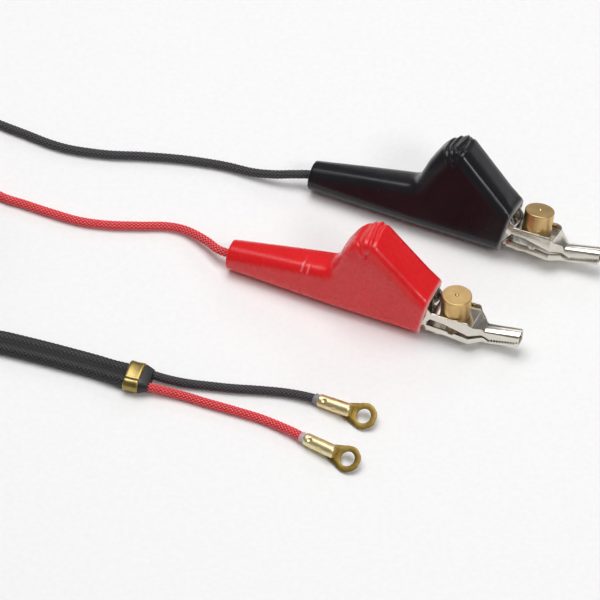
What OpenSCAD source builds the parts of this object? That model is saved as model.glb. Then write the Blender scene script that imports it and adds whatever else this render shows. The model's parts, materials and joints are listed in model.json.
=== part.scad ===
// Test lead set: two spring clips in vinyl boots on braided leads, a two-core
// braided sheath, and two pigtails that end in ring terminals.
// Millimetres.  +Z is up, the surface it lies on is z = 0, and +X runs from
// the coil towards the clips' noses.

/* [Boot] */
// Length of the boot along its belly, from the cord end to the mouth
boot_l = 58.5; // [54:0.5:72]
// Wall of the moulded boot
boot_wall = 1.1; // [0.8:0.1:1.3]
// Outer width of the boot at its mouth
boot_w = 13.2; // [12.8:0.1:18]
// Diameter of the boot at its cord end
boot_rear_d = 8.6; // [7.8:0.1:9.4]
// Length of the slender neck
neck_l = 30; // [25:0.5:31]
// Height of the neck where the hump starts
neck_h = 13.4; // [12:0.1:15]
// Height of the hump over the belly
hump_h = 29; // [25:0.5:36]
// Height of the mouth over the belly
mouth_h = 13.5; // [12.5:0.1:15.5]
// Radius of the boot's upper edges
boot_edge_r = 3; // [2:0.1:3.4]
// Width of the boot's belly
belly_w = 12.8; // [12.8:0.1:17]
// Radius of the belly's long edges
belly_r = 4.2; // [3:0.1:4.8]

/* [Jaws] */
// Thickness of the jaws' sheet steel
sheet = 0.65; // [0.5:0.05:0.8]
// Outer width of both jaws
jaw_w = 9.8; // [9.8:0.1:12]
// Outer width of both noses
nose_w = 4.2; // [3.4:0.1:5.6]
// Length of the jaws in front of the boot's belly
jaw_reach = 28.1; // [27:0.1:34]
// Diameter of the pivot pin
pin_d = 2.4; // [2:0.1:3]
// Diameter of the pin's riveted heads
pin_head_d = 3.8; // [3.4:0.1:5]
// Diameter of the spring wire
spring_wire_d = 0.6; // [0.5:0.05:0.7]
// Spacing of the teeth
tooth_pitch = 0.8; // [0.7:0.05:1.2]
// Depth of the teeth
tooth_depth = 0.5; // [0.3:0.05:0.6]

/* [Nail bed] */
// Diameter of the brass bed
bed_d = 8.4; // [7:0.1:8.4]
// Height of the bed over the upper jaw's floor
bed_h = 6.6; // [5.5:0.1:8]
// Number of nails in the ring
nail_count = 7; // [5:1:9]
// Diameter of a nail
nail_d = 0.5; // [0.4:0.05:0.6]

/* [Cords] */
// Diameter of a lead and of a pigtail
lead_d = 2.6; // [2.2:0.1:3]
// Width of the flat two-core sheath
sheath_w = 7.4; // [6.2:0.1:8.8]
// Thickness of the sheath
sheath_t = 3.6; // [3:0.1:4.2]
// Width of the crimp bands
band_w = 9.8; // [9.4:0.1:11]
// Thickness of the crimp bands over the sheath
band_t = 5.2; // [5:0.1:6]
// Length of the crimp bands along the cord
band_l = 4.4; // [3.6:0.1:5.2]
// Metal thickness of the crimp bands
band_wall = 0.4; // [0.3:0.05:0.5]

/* [Ring terminals] */
// Diameter of the stud hole
stud_hole_d = 4.2; // [3.4:0.1:5]
// Outer diameter of the ring
ring_d = 7.6; // [6.8:0.1:9.2]
// Thickness of the ring
ring_t = 0.8; // [0.6:0.05:1]
// Outer diameter of the barrel
barrel_d = 3.8; // [3.6:0.1:4.6]
// Length of the barrel
barrel_l = 9; // [7.5:0.1:11]
// Distance from the barrel's end to the ring's centre
tongue_l = 4.3; // [4:0.1:5.6]

/* [Hidden] */
$fn = 48;
hull_fn = 20;
eps = 0.01;

// How the clips lie: turned about Z, and leaning back from the front
clip_turn = -21.8;
black_lean = 21;
red_lean = 8;
black_place = [-29.3, 28.4];
red_place = [-52, 0.1];

// Clearances
pin_gap = 0.05;
ear_gap = 0.3;
bed_gap = 0.05;
lever_gap = 0.6;
cord_gap = 0.2;
head_gap = 0.05;
head_t = 0.2;
bite_gap = 0.25;
mouth_gap = 0.6;
foot_gap = 0.4;
clasp_gap = 0.4;
// The boot clears the jaws, and the bands clear the sheath, where those
// are made wider
mouth_w = max(boot_w, jaw_w + 2 * (boot_wall + mouth_gap));
foot_w = max(belly_w, jaw_w + 2 * (boot_wall + foot_gap));
clasp_w = max(band_w, sheath_w + 2 * (band_wall + clasp_gap));

// The boot's front slope runs from the hump's top to the mouth's top edge
hump_top = [boot_l - 15, hump_h];
mouth_top = [boot_l + 2.5, mouth_h];
slope_dir = (mouth_top - hump_top) / norm(mouth_top - hump_top);
slope_in = [slope_dir[1], -slope_dir[0]];
mouth_low = [boot_l, 0];
mouth_dir = mouth_top - mouth_low;

// Jaw stations along the clip, measured from the boot's mouth
pivot = [boot_l - 1.5, 6];
ear_r = 2.9;
tray_start = boot_l + 2;
bed_x = boot_l + 8.7;
tray_end = boot_l + 15.2;
nose_start = boot_l + 18.2;
teeth_start = boot_l + 20;
nose_end = boot_l + jaw_reach;

// Jaw heights

lower_z = 3;
tray_z = 7.3;
wing_z = 9.3;
nose_rise = [1, tan(11.6)];
teeth_rise = [1, tan(14)];
keel_rise = [1, tan(9.8)];
teeth_z = 3.5;
nose_top_z = 6.4;
keel_z = 1.9;
teeth_n = floor((nose_end - teeth_start) / tooth_pitch);

// Wire end in the boot
tang_start = 12;
tail_end = 12;
ferrule_start = 7;
ferrule_t = 0.45;
core_d = 1.6;
crimp_l = 5;
rear_face = 0;
lead_z = boot_rear_d / 2;
tang_z = lead_z - core_d / 2 - sheet - 0.05;

// Nail bed
spigot_d = 6;
spigot_drop = 0.7;
nail_l = 2.4;
nail_ring_r = 1.9;

// Coil of the sheath that is put away
coil_at = [-165.7, 8.1];
coil_r = 40;
turn_rise = 3.7;
turns_shown = 880 / 360;
coil_h = sheath_t + turn_rise * turns_shown + 0.1;
tie_l = 4;
tie_t = 0.8;

// Places of the two crimp bands: centre, and heading about Z
ring_band = [[-77.9, -42.2, band_t / 2], -17.3];
clip_band = [[-138.2, 56.1, band_t / 2], 177];
taper_l = 2.6;

// Ring terminals: barrel mouth, heading about Z, nose-up pitch, and roll
terminal_pitch = -5.5;
terminal_roll = 27;
black_terminal_at = [[-26.9, -50, 2.05], -28];
red_terminal_at = [[-30.7, -63.6, 2.05], -34.5];
sleeve_l = 1.4;
sleeve_t = 0.25;
strand_d = 1.5;

// Routes of the cords' centre lines
black_lead_route = [
    [-33.7, 30.4, 4.7], [-39.7, 31.5, 3.4], [-45.7, 33.5, 2], [-53.7, 36.5, 1.4],
    [-64.7, 38.9, 1.3], [-76.7, 40.3, 1.3], [-87.7, 41, 1.3], [-98.7, 43.1, 1.3],
    [-104.7, 45.4, 1.3], [-110.7, 48.5, 1.3], [-116.7, 51.5, 1.3],
    [-121.7, 54.1, 1.3], [-127.7, 56.9, 1.6], [-133.7, 58.1, 2.4]];
red_lead_route = [
    [-55.2, 2.7, 4], [-58.7, 6.7, 3.2], [-64.7, 11.9, 1.8], [-69.7, 13.7, 1.3],
    [-77.7, 13.9, 1.3], [-86.7, 14.3, 1.3], [-94.7, 15.7, 1.3], [-103.7, 19.1, 1.3],
    [-110.7, 22.1, 1.3], [-117.2, 24.9, 1.3], [-121.2, 28.6, 1.3],
    [-123.2, 34.1, 1.3], [-124.7, 40.1, 1.3], [-126.7, 46.1, 1.3],
    [-129.7, 51.1, 1.6], [-133.7, 53.7, 2.4]];
black_pigtail_route = [
    [-73.7, -41.2, 2.5], [-68.7, -42.5, 1.8], [-63.7, -43.5, 1.4],
    [-56.7, -44.5, 1.3], [-50.7, -45.3, 1.3], [-43.7, -45.9, 1.3],
    [-37.7, -46.6, 1.3], [-32.7, -47.8, 1.6], [-28.7, -49.2, 1.9]];
red_pigtail_route = [
    [-75.1, -45.3, 2.4], [-69.7, -46.5, 1.8], [-63.7, -48.2, 1.4],
    [-58.7, -50.1, 1.3], [-53.7, -51.9, 1.3], [-47.7, -54.1, 1.3],
    [-42.7, -56.1, 1.3], [-37.7, -58.8, 1.5], [-33.7, -61.4, 1.9]];
sheath_run_route = [
    [-79.7, -41.6, 2.6], [-83.7, -40.1, 2.2], [-88.7, -37.9, 1.8],
    [-99.7, -34.1, 1.8], [-107.7, -31.5, 1.8], [-116.7, -28.9, 1.8],
    [-125.7, -27.7, 1.8], [-135.7, -28.3, 1.8], [-145.7, -30.1, 1.8],
    [-155.7, -31.5, 1.8], [-165.7, -31.9, 1.8]];
sheath_exit_route = [
    [-179.4, 45.7, 10.9], [-171.7, 48.5, 11], [-164.7, 51.1, 10.9],
    [-158.7, 53.1, 10], [-152.7, 54.7, 7.8], [-146.7, 55.7, 5],
    [-141.7, 56.1, 3], [-138.2, 56.1, 2.6]];

black_vinyl = [0.06, 0.06, 0.09];
red_vinyl = [0.85, 0.05, 0.08];
nickel = [0.75, 0.74, 0.71];
spring_steel = [0.55, 0.55, 0.56];
bright_brass = [0.78, 0.62, 0.32];
dull_brass = [0.6, 0.5, 0.22];
copper = [0.75, 0.45, 0.3];
black_braid = [0.13, 0.13, 0.14];
red_braid = [0.85, 0.2, 0.22];
clear_film = [0.7, 0.7, 0.72];

// ---- Placing -------------------------------------------------------------

// Height that a leaning boot needs so that its lowest edge touches z = 0
function belly_lift(lean) =
    (foot_w / 2 - belly_r) * sin(lean) + belly_r * (1 - cos(lean));

// A point in a clip's own axes, taken to the shared axes
function in_clip(place, lean, p) =
    let (y = p[1] * cos(lean) + p[2] * sin(lean),
         z = p[2] * cos(lean) - p[1] * sin(lean))
    [place[0] + p[0] * cos(clip_turn) - y * sin(clip_turn),
     place[1] + p[0] * sin(clip_turn) + y * cos(clip_turn),
     z + belly_lift(lean)];

module on_clip(place, lean)
    translate([place[0], place[1], belly_lift(lean)])
        rotate([0, 0, clip_turn])
            rotate([-lean, 0, 0])
                children();

module on_black() on_clip(black_place, black_lean) children();
module on_red() on_clip(red_place, red_lean) children();

module on_cord(seat)
    translate(seat[0]) rotate([0, 0, seat[1]]) children();

module on_terminal(seat)
    on_cord(seat)
        rotate([0, terminal_pitch, 0])
            rotate([terminal_roll, 0, 0])
                children();

// A solid with its outline in x and z, w wide, and centred on y = 0
module across(w)
    translate([0, w / 2, 0])
        rotate([90, 0, 0])
            linear_extrude(height = w)
                children();

// A solid with its outline in x and y that spans every height of the clip
module through_plan()
    translate([0, 0, -1]) linear_extrude(height = hump_h + 2) children();

// A round bar along x
module bar_x(x0, x1, d, z = 0)
    translate([x0, 0, z]) rotate([0, 90, 0]) cylinder(d = d, h = x1 - x0);

// A round bar along y, centred on y = 0
module bar_y(d, l, at)
    translate([at[0], l / 2, at[1]]) rotate([90, 0, 0]) cylinder(d = d, h = l);

// A round bar between two points
module bar(p, q, d)
    translate(p)
        rotate([0, acos((q[2] - p[2]) / norm(q - p)),
                atan2(q[1] - p[1], q[0] - p[0])])
            cylinder(d = d, h = norm(q - p));

// ---- Boot ----------------------------------------------------------------

// A ball of radius r at each side of the boot; inset is the wall taken off
module edge_balls(at, half_w, inset, r = boot_edge_r)
    for (side = [-1, 1])
        translate([at[0], side * (half_w - r), at[1]])
            sphere(r = r - inset, $fn = hull_fn);

module belly_balls(x, half_w, inset)
    edge_balls([x, belly_r], half_w, inset, belly_r);

module boot_neck(inset) {
    r = boot_edge_r;
    hull() {
        bar_x(rear_face + inset, rear_face + inset + 1,
              boot_rear_d - 2 * inset, boot_rear_d / 2, $fn = hull_fn);
        belly_balls(neck_l + 3, foot_w * 0.46, inset);
        edge_balls([neck_l + 3, neck_h + 0.5 - r], mouth_w * 0.42, inset);
    }
}

module boot_hump(inset) {
    r = boot_edge_r;
    over = mouth_top + slope_dir * 5 + slope_in * r;
    crest = hump_top + slope_dir * 1.2 + slope_in * r;
    hull() {
        belly_balls(neck_l + 2.5, foot_w * 0.46, inset);
        belly_balls(boot_l + 5, foot_w / 2, inset);
        edge_balls(over, mouth_w / 2, inset);
        edge_balls(crest, mouth_w / 2, inset);
        edge_balls([crest[0] - 3.4, crest[1] - 1.9], mouth_w * 0.45, inset);
        edge_balls([neck_l + 6.4, 19.6], mouth_w * 0.45, inset);
        edge_balls([neck_l + 3, neck_h - r], mouth_w * 0.43, inset);
    }
}

module boot(tint)
    color(tint)
        difference() {
            intersection() {
                union() {
                    boot_neck(0);
                    boot_hump(0);
                }
                // The mouth is cut along one plane
                across(2 * mouth_w)
                    polygon([[0, -mouth_h], mouth_low - mouth_dir,
                             mouth_low + 3 * mouth_dir, [0, 3 * mouth_h]]);
            }
            boot_neck(boot_wall);
            boot_hump(boot_wall);
            bar_x(0, rear_face + 4, lead_d + 2 * cord_gap, lead_z);
        }

// ---- Jaws ----------------------------------------------------------------

// Plan outline of a jaw, from the back station to the nose's tip
function jaw_plan(back, half_w, half_nose) = [
    [back, -half_w], [tray_end - 0.8, -half_w],
    [nose_start - 0.6, -half_nose], [nose_end, -half_nose],
    [nose_end, half_nose], [nose_start - 0.6, half_nose],
    [tray_end - 0.8, half_w], [back, half_w]];

// Zigzag along a line from p towards the clip's back or front
function teeth(p, dir, n, pitch, depth) = [
    for (i = [0:n - 1]) each [
        p + dir * (i * pitch),
        p + dir * ((i + 0.5) * pitch) + [0, depth]]];

// Height of a rising line at station x
function rise_at(start, dir, x) =
    [x, start[1] + (x - start[0]) * dir[1] / dir[0]];

teeth_start_at = [teeth_start, teeth_z];
nose_top_at = [nose_start, nose_top_z];
keel_at = [nose_start, keel_z];

module ear(d) translate(pivot) circle(d = d);

module upper_jaw(tint) {
    // The lever's plate runs under the boot's front slope
    over = slope_in * (boot_wall + lever_gap);
    lever_low = mouth_top - slope_dir * 3.5 + over;
    lever_high = hump_top + slope_dir * 4 + over;
    under_low = lever_low + slope_in * sheet;
    under_high = lever_high + slope_in * sheet - slope_dir * 3;
    outline = concat(
        [lever_high, lever_low, [tray_start + 1.2, wing_z],
         [tray_end - 1.6, wing_z], [tray_end - 0.6, wing_z - 0.5],
         [tray_end, tray_z + sheet], nose_top_at,
         rise_at(nose_top_at, nose_rise, nose_end),
         rise_at(teeth_start_at, teeth_rise, nose_end)],
        [for (i = [teeth_n - 1:-1:0]) each [
            rise_at(teeth_start_at, teeth_rise,
                    teeth_start + (i + 0.5) * tooth_pitch)
                + [0, tooth_depth],
            rise_at(teeth_start_at, teeth_rise,
                    teeth_start + i * tooth_pitch)]],
        [[nose_start, 4.4], [tray_start + 5, 7],
         [tray_start + 1, tray_z], [pivot[0] + 2, pivot[1] - 2],
         [pivot[0] - 2, pivot[1] - 2], [pivot[0] - 3.5, pivot[1] + 3],
         [pivot[0] - 6.5, pivot[1] + 9.5],
         lever_high + slope_in * 3]);
    inner_w = jaw_w - 2 * sheet;
    color(tint)
        difference() {
            intersection() {
                across(jaw_w) union() {
                    polygon(outline);
                    ear(2 * ear_r);
                }
                through_plan()
                    polygon(jaw_plan(0, jaw_w / 2, nose_w / 2));
            }
            // Above the floor, between the wings, and up to the lever
            across(inner_w)
                polygon([under_high, under_low,
                         [under_low[0], 2 * hump_h],
                         [tray_end - 0.3, 2 * hump_h],
                         [tray_end - 0.3, tray_z + sheet],
                         [tray_start + 1, tray_z + sheet],
                         [tray_start + 1, 0], [0, 0],
                         [0, under_high[1]]]);
            // Under the floor, between the skirts and the nose's sides
            intersection() {
                across(inner_w)
                    polygon([[tray_start, 0],
                             [nose_end + 1, 0],
                             rise_at(nose_top_at + [0, -sheet], nose_rise,
                                     nose_end + 1),
                             nose_top_at + [0, -sheet],
                             [tray_end, tray_z], [tray_start, tray_z]]);
                through_plan()
                    polygon(jaw_plan(0, inner_w / 2, nose_w / 2 - sheet));
            }
            bar_y(pin_d + 2 * pin_gap, jaw_w + 1, pivot);
            translate([bed_x, 0, 0])
                cylinder(d = spigot_d + 2 * bed_gap, h = wing_z);
        }
}

module lower_jaw(tint) {
    ear_w = jaw_w - 2 * sheet - 2 * ear_gap;
    ear_in = ear_w - 2 * sheet;
    tip = rise_at(keel_at, keel_rise, nose_end);
    bite = [0, -bite_gap];
    keel = [[tang_start, tang_z], [neck_l + 10, tang_z],
            [pivot[0] - 6, lower_z], [tray_start + 2, lower_z],
            [tray_start + 3.5, lower_z - 0.35],
            [tray_start + 5, lower_z], keel_at, tip];
    tooth_tip = rise_at(teeth_start_at, teeth_rise, nose_end) + bite;
    walls = concat(keel, [tooth_tip],
        [for (i = [teeth_n - 1:-1:0]) each [
            rise_at(teeth_start_at, teeth_rise,
                    teeth_start + (i + 0.5) * tooth_pitch)
                + bite + [0, tooth_depth],
            rise_at(teeth_start_at, teeth_rise,
                    teeth_start + i * tooth_pitch) + bite]],
        [[nose_start, 3.6], [bed_x + 1.5, 4.6], [bed_x + 1.2, 4],
         [bed_x - 0.2, 4], [bed_x - 0.5, 4.6], [tray_start + 1.2, 4.8],
         [pivot[0] + 3.6, 4.8], [pivot[0] - 3.4, 4.8],
         [pivot[0] - 8, lower_z + sheet], [neck_l + 10, tang_z + sheet],
         [tang_start, tang_z + sheet]]);
    inside = [[0, 30], [0, tang_z + sheet], [neck_l + 10, tang_z + sheet],
              [pivot[0] - 6, lower_z + sheet],
              [tray_start + 5, lower_z + sheet],
              keel_at + [0, sheet],
              rise_at(keel_at + [0, sheet], keel_rise, nose_end + 1),
              [nose_end + 1, 30]];
    wide = jaw_plan(pivot[0] + 3.4, jaw_w / 2, nose_w / 2);
    tang_plan = [[tang_start, -2.2], [neck_l + 10, -2.2],
                 [pivot[0] - 6, -ear_w / 2], [pivot[0] + 3.5, -ear_w / 2],
                 [pivot[0] + 3.5, ear_w / 2], [pivot[0] - 6, ear_w / 2],
                 [neck_l + 10, 2.2], [tang_start, 2.2]];
    color(tint)
        difference() {
            intersection() {
                across(jaw_w) union() {
                    polygon(walls);
                    // Ears that hold the pivot pin
                    intersection() {
                        ear(2 * ear_r - 0.4);
                        translate([0, lower_z]) square([pivot[0] + 9, 20]);
                    }
                    polygon([[pivot[0] - 2.7, lower_z + 1],
                             [pivot[0] + 2.7, lower_z + 1],
                             [pivot[0] + 2.7, pivot[1]],
                             [pivot[0] - 2.7, pivot[1]]]);
                }
                through_plan() {
                    polygon(wide);
                    polygon(tang_plan);
                }
            }
            intersection() {
                across(jaw_w) polygon(inside);
                through_plan() {
                    polygon(jaw_plan(pivot[0] + 3.4 - eps,
                                     jaw_w / 2 - sheet,
                                     nose_w / 2 - sheet));
                    translate([neck_l, -ear_in / 2])
                        square([pivot[0] + 3.5 - neck_l, ear_in]);
                    translate([0, -jaw_w / 2])
                        square([neck_l + 10, jaw_w]);
                }
            }
            bar_y(pin_d, jaw_w, pivot);
        }
    // Crimp that grips the bared wire
    color(tint)
        difference() {
            bar_x(tang_start + 2, tang_start + 2 + crimp_l,
                  2 * (lead_z - tang_z), lead_z);
            bar_x(tang_start, tang_start + 4 + crimp_l, core_d, lead_z);
        }
}

module pivot_pin(tint)
    color(tint) {
        bar_y(pin_d, jaw_w + 2 * head_gap + 2 * head_t, pivot);
        for (side = [-1, 1])
            translate([pivot[0], side * (jaw_w + head_t + 2 * head_gap) / 2,
                       pivot[1]])
                rotate([90, 0, 0])
                    cylinder(d = pin_head_d, h = head_t, center = true);
    }

// Torsion spring round the pin: a sleeve for its turns, and its two legs
module jaw_spring(tint) {
    r = pin_d / 2 + 0.25 + spring_wire_d / 2;
    turns_w = jaw_w - 4 * sheet - 2 * ear_gap - 2;
    floor_z = lower_z + sheet + spring_wire_d / 2;
    under = hump_top + slope_dir * 9 + slope_in
            * (boot_wall + lever_gap + sheet + spring_wire_d / 2 + 0.3);
    color(tint) {
        difference() {
            bar_y(2 * r + spring_wire_d, turns_w, pivot);
            bar_y(2 * r - spring_wire_d, turns_w + 1, pivot);
        }
        bar([pivot[0], 2 - turns_w / 2, pivot[1] - r],
            [pivot[0] - 12, 2 - turns_w / 2, floor_z + 0.05],
            spring_wire_d);
        bar([pivot[0] - r, turns_w / 2 - 1, pivot[1]],
            [under[0], turns_w / 2 - 1, under[1]], spring_wire_d);
    }
}

module nail_bed(tint)
    color(tint)
        translate([bed_x, 0, 0]) {
            translate([0, 0, tray_z + sheet])
                cylinder(d = bed_d, h = bed_h);
            translate([0, 0, tray_z - spigot_drop])
                cylinder(d = spigot_d, h = spigot_drop + sheet);
        }

module nails(tint)
    color(tint)
        translate([bed_x, 0, tray_z - spigot_drop])
            for (i = [0:nail_count])
                rotate([0, 0, i * 360 / nail_count])
                    translate([i < nail_count ? nail_ring_r : 0, 0, -nail_l])
                        cylinder(d1 = 0.1, d2 = nail_d, h = nail_l,
                                 $fn = 16);

// Brass ferrule that stops the braid from fraying
module wire_ferrule(tint)
    color(tint)
        difference() {
            bar_x(ferrule_start, tail_end - 0.5, lead_d + 2 * ferrule_t,
                  lead_z);
            bar_x(0, tail_end, lead_d, lead_z);
        }

module wire_core(tint)
    color(tint)
        bar_x(tail_end, tang_start + crimp_l + 4, core_d, lead_z);

// The last stretch of the lead, inside the boot's neck
module lead_tail(tint)
    color(tint) bar_x(rear_face, tail_end, lead_d, lead_z);

// ---- Cords ---------------------------------------------------------------

// Unit vector along a route at point i, from its two neighbours
function along(r, i) =
    let (d = r[min(i + 1, len(r) - 1)] - r[max(i - 1, 0)]) d / norm(d);

// One ring of the tube: k points on an ellipse w by t, flat side down
function ring(c, d, w, t, k) =
    let (side = cross([0, 0, 1], d) / norm(cross([0, 0, 1], d)),
         up = cross(d, side))
    [for (j = [0:k - 1])
        let (a = 360 * (j + 0.5) / k, s = 1 / cos(180 / k))
        c + side * (w / 2 * s * cos(a)) + up * (t / 2 * s * sin(a))];

// A tube swept along the route's own points
module tube(route, w, t, k = 8) {
    n = len(route);
    points = [for (i = [0:n - 1])
        each ring(route[i], along(route, i), w, t, k)];
    sides = [for (i = [0:n - 2], j = [0:k - 1])
        let (a = i * k + j, b = i * k + (j + 1) % k)
        [a, a + k, b + k, b]];
    ends = [[for (j = [0:k - 1]) j],
            [for (j = [k - 1:-1:0]) (n - 1) * k + j]];
    polyhedron(points = points, faces = concat(sides, ends));
}

module lead(tint, place, lean, route)
    color(tint)
        tube(concat([in_clip(place, lean, [rear_face, 0, lead_z])], route),
             lead_d, lead_d);

module pigtail(tint, route, seat)
    color(tint) tube(concat(route, [seat[0]]), lead_d, lead_d);

module sheath(tint, route)
    color(tint) tube(route, sheath_w, sheath_t);

module sheath_coil(tint)
    color(tint)
        translate([coil_at[0], coil_at[1], 0])
            rotate_extrude($fn = 96)
                translate([coil_r - sheath_w / 2, 0])
                    square([sheath_w, coil_h]);

// Strap round all the turns, on the coil's far side from the leads
module coil_tie(tint)
    color(tint)
        translate([coil_at[0] - coil_r, coil_at[1], 0])
            difference() {
                translate([-sheath_w / 2 - tie_t - 0.2, -tie_l / 2, 0])
                    cube([sheath_w + 2 * tie_t + 0.4, tie_l,
                          coil_h + tie_t]);
                translate([-sheath_w / 2 - 0.2, -tie_l, tie_t / 2])
                    cube([sheath_w + 0.4, 2 * tie_l, coil_h - tie_t / 2]);
            }

// Flat oval, w by t, in y and z, from x0 to x0 + l
module oval_bar(w, t, x0, l)
    translate([x0, 0, 0])
        rotate([0, 90, 0])
            linear_extrude(height = l)
                union() {
                    square([t, w - t], center = true);
                    for (side = [-1, 1])
                        translate([0, side * (w - t) / 2]) circle(d = t);
                }

module crimp_band(tint)
    color(tint)
        difference() {
            oval_bar(clasp_w, band_t, -band_l / 2, band_l);
            oval_bar(clasp_w - 2 * band_wall, band_t - 2 * band_wall,
                     -band_l, 2 * band_l);
        }

// Sheath end that fills the band and tapers down to the two leads
module sheath_taper(tint) {
    fill_w = clasp_w - 2 * band_wall - 2 * eps;
    fill_t = band_t - 2 * band_wall - 2 * eps;
    color(tint) {
        oval_bar(fill_w, fill_t, -band_l / 2, band_l);
        hull() {
            oval_bar(fill_w, fill_t, band_l / 2, 0.4, $fn = hull_fn);
            oval_bar(2 * lead_d + 2, lead_d + 0.6, band_l / 2 + taper_l - 0.2,
                     0.2, $fn = hull_fn);
        }
    }
}

// ---- Ring terminals ------------------------------------------------------

// Barrel on the x axis from x = 0; the ring lies on the barrel's underside
module terminal(tint) {
    centre_x = barrel_l + tongue_l;
    under = -barrel_d / 2;
    color(tint)
        difference() {
            union() {
                bar_x(0, barrel_l, barrel_d);
                translate([centre_x, 0, under])
                    cylinder(d = ring_d, h = ring_t);
                translate([0, 0, under])
                    linear_extrude(height = ring_t)
                        polygon([[barrel_l - 4, -barrel_d / 2],
                                 [barrel_l, -barrel_d / 2],
                                 [centre_x - 0.4, -ring_d / 2 + 0.05],
                                 [centre_x - 0.4, ring_d / 2 - 0.05],
                                 [barrel_l, barrel_d / 2],
                                 [barrel_l - 4, barrel_d / 2]]);
            }
            bar_x(-1, barrel_l - 1.2, lead_d);
            translate([centre_x, 0, under - 1])
                cylinder(d = stud_hole_d, h = ring_t + 2);
        }
}

// Thin clear sleeve over the pigtail where it enters the barrel
module terminal_sleeve(tint)
    color(tint)
        difference() {
            bar_x(-sleeve_l, 0, lead_d + 2 * sleeve_t);
            bar_x(-sleeve_l - 1, 1, lead_d);
        }

// Cord end and bared strands inside the barrel
module strands(tint)
    color(tint) {
        bar_x(0, barrel_l / 2, lead_d);
        bar_x(barrel_l / 2, barrel_l - 1.2, strand_d);
    }

on_black() boot(black_vinyl);  // black_boot
on_black() lower_jaw(nickel);  // black_lower_jaw
on_black() upper_jaw(nickel);  // black_upper_jaw
on_black() pivot_pin(nickel);  // black_pivot_pin
on_black() jaw_spring(spring_steel);  // black_jaw_spring
on_black() nail_bed(bright_brass);  // black_nail_bed
on_black() nails(spring_steel);  // black_nails
on_black() wire_ferrule(bright_brass);  // black_wire_ferrule
on_black() wire_core(copper);  // black_wire_core
on_black() lead_tail(black_braid);  // black_lead_tail
lead(black_braid, black_place, black_lean, black_lead_route);  // black_lead
on_red() boot(red_vinyl);  // red_boot
on_red() lower_jaw(nickel);  // red_lower_jaw
on_red() upper_jaw(nickel);  // red_upper_jaw
on_red() pivot_pin(nickel);  // red_pivot_pin
on_red() jaw_spring(spring_steel);  // red_jaw_spring
on_red() nail_bed(bright_brass);  // red_nail_bed
on_red() nails(spring_steel);  // red_nails
on_red() wire_ferrule(bright_brass);  // red_wire_ferrule
on_red() wire_core(copper);  // red_wire_core
on_red() lead_tail(red_braid);  // red_lead_tail
lead(red_braid, red_place, red_lean, red_lead_route);  // red_lead
on_cord(clip_band) crimp_band(dull_brass);  // clip_end_band
on_cord(clip_band) mirror([1, 0, 0]) sheath_taper(black_braid);  // clip_end_taper
sheath(black_braid, sheath_exit_route);  // sheath_exit
sheath_coil(black_braid);
coil_tie(black_vinyl);
sheath(black_braid, sheath_run_route);  // sheath_run
on_cord(ring_band) crimp_band(dull_brass);  // ring_end_band
on_cord(ring_band) sheath_taper(black_braid);  // ring_end_taper
pigtail(black_braid, black_pigtail_route, black_terminal_at);  // black_pigtail
on_terminal(black_terminal_at) terminal_sleeve(clear_film);  // black_terminal_sleeve
on_terminal(black_terminal_at) terminal(bright_brass);  // black_terminal
on_terminal(black_terminal_at) strands(copper);  // black_strands
pigtail(red_braid, red_pigtail_route, red_terminal_at);  // red_pigtail
on_terminal(red_terminal_at) terminal_sleeve(clear_film);  // red_terminal_sleeve
on_terminal(red_terminal_at) terminal(bright_brass);  // red_terminal
on_terminal(red_terminal_at) strands(copper);  // red_strands
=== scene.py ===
import json
import math

import bmesh
import bpy
import numpy as np
from mathutils import Matrix, Vector


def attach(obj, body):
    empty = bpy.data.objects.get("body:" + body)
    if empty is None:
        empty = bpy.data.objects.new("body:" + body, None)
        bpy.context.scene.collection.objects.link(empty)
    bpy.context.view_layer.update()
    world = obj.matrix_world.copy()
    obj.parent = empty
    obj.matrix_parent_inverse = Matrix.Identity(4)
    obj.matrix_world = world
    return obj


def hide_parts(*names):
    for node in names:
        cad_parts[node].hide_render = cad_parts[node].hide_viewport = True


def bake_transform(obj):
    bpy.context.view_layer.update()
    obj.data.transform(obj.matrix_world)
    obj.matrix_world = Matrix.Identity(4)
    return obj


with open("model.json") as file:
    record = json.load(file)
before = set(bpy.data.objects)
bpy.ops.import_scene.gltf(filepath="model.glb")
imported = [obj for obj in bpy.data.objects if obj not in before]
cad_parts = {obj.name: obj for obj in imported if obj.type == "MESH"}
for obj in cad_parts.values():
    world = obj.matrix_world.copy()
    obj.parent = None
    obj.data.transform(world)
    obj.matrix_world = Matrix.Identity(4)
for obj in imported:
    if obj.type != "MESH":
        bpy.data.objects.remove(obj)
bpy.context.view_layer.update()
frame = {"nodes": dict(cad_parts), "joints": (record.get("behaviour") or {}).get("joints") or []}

MM = 0.001
NODES = frame["nodes"]
CLIPS = ("black", "red")

# Sizes that the CAD source holds, in millimetres
BOOT_L = 58.5
MOUTH_H = 13.5
HUMP_H = 29.0
# The hump's edge lies HUMP_BACK behind the boot's end; the mouth leans MOUTH_LEAN out
HUMP_BACK, MOUTH_LEAN = 15, 2.5
PIVOT = (57.0, 6.0)
LEAD_D = 2.6
SHEATH_W, SHEATH_T = 7.4, 3.6
BAND_W, BAND_T, BAND_L = 9.8, 5.2, 4.4
BED_X, BED_D = 67.2, 8.4
TRAY_Z, SHEET = 7.3, 0.65
BARREL_D, BARREL_L, TONGUE_L = 3.8, 9.0, 4.3
RING_D, RING_T, HOLE_D = 7.6, 0.8, 4.2
TERMINAL_PITCH, TERMINAL_ROLL = -5.5, 27.0
COIL_AT, COIL_R, TURN_RISE = (-165.7, 8.1), 40.0, 3.7
COIL_SWEEP = 880.0


# ---- The clips' own axes, worked out from their hinges --------------------

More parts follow.
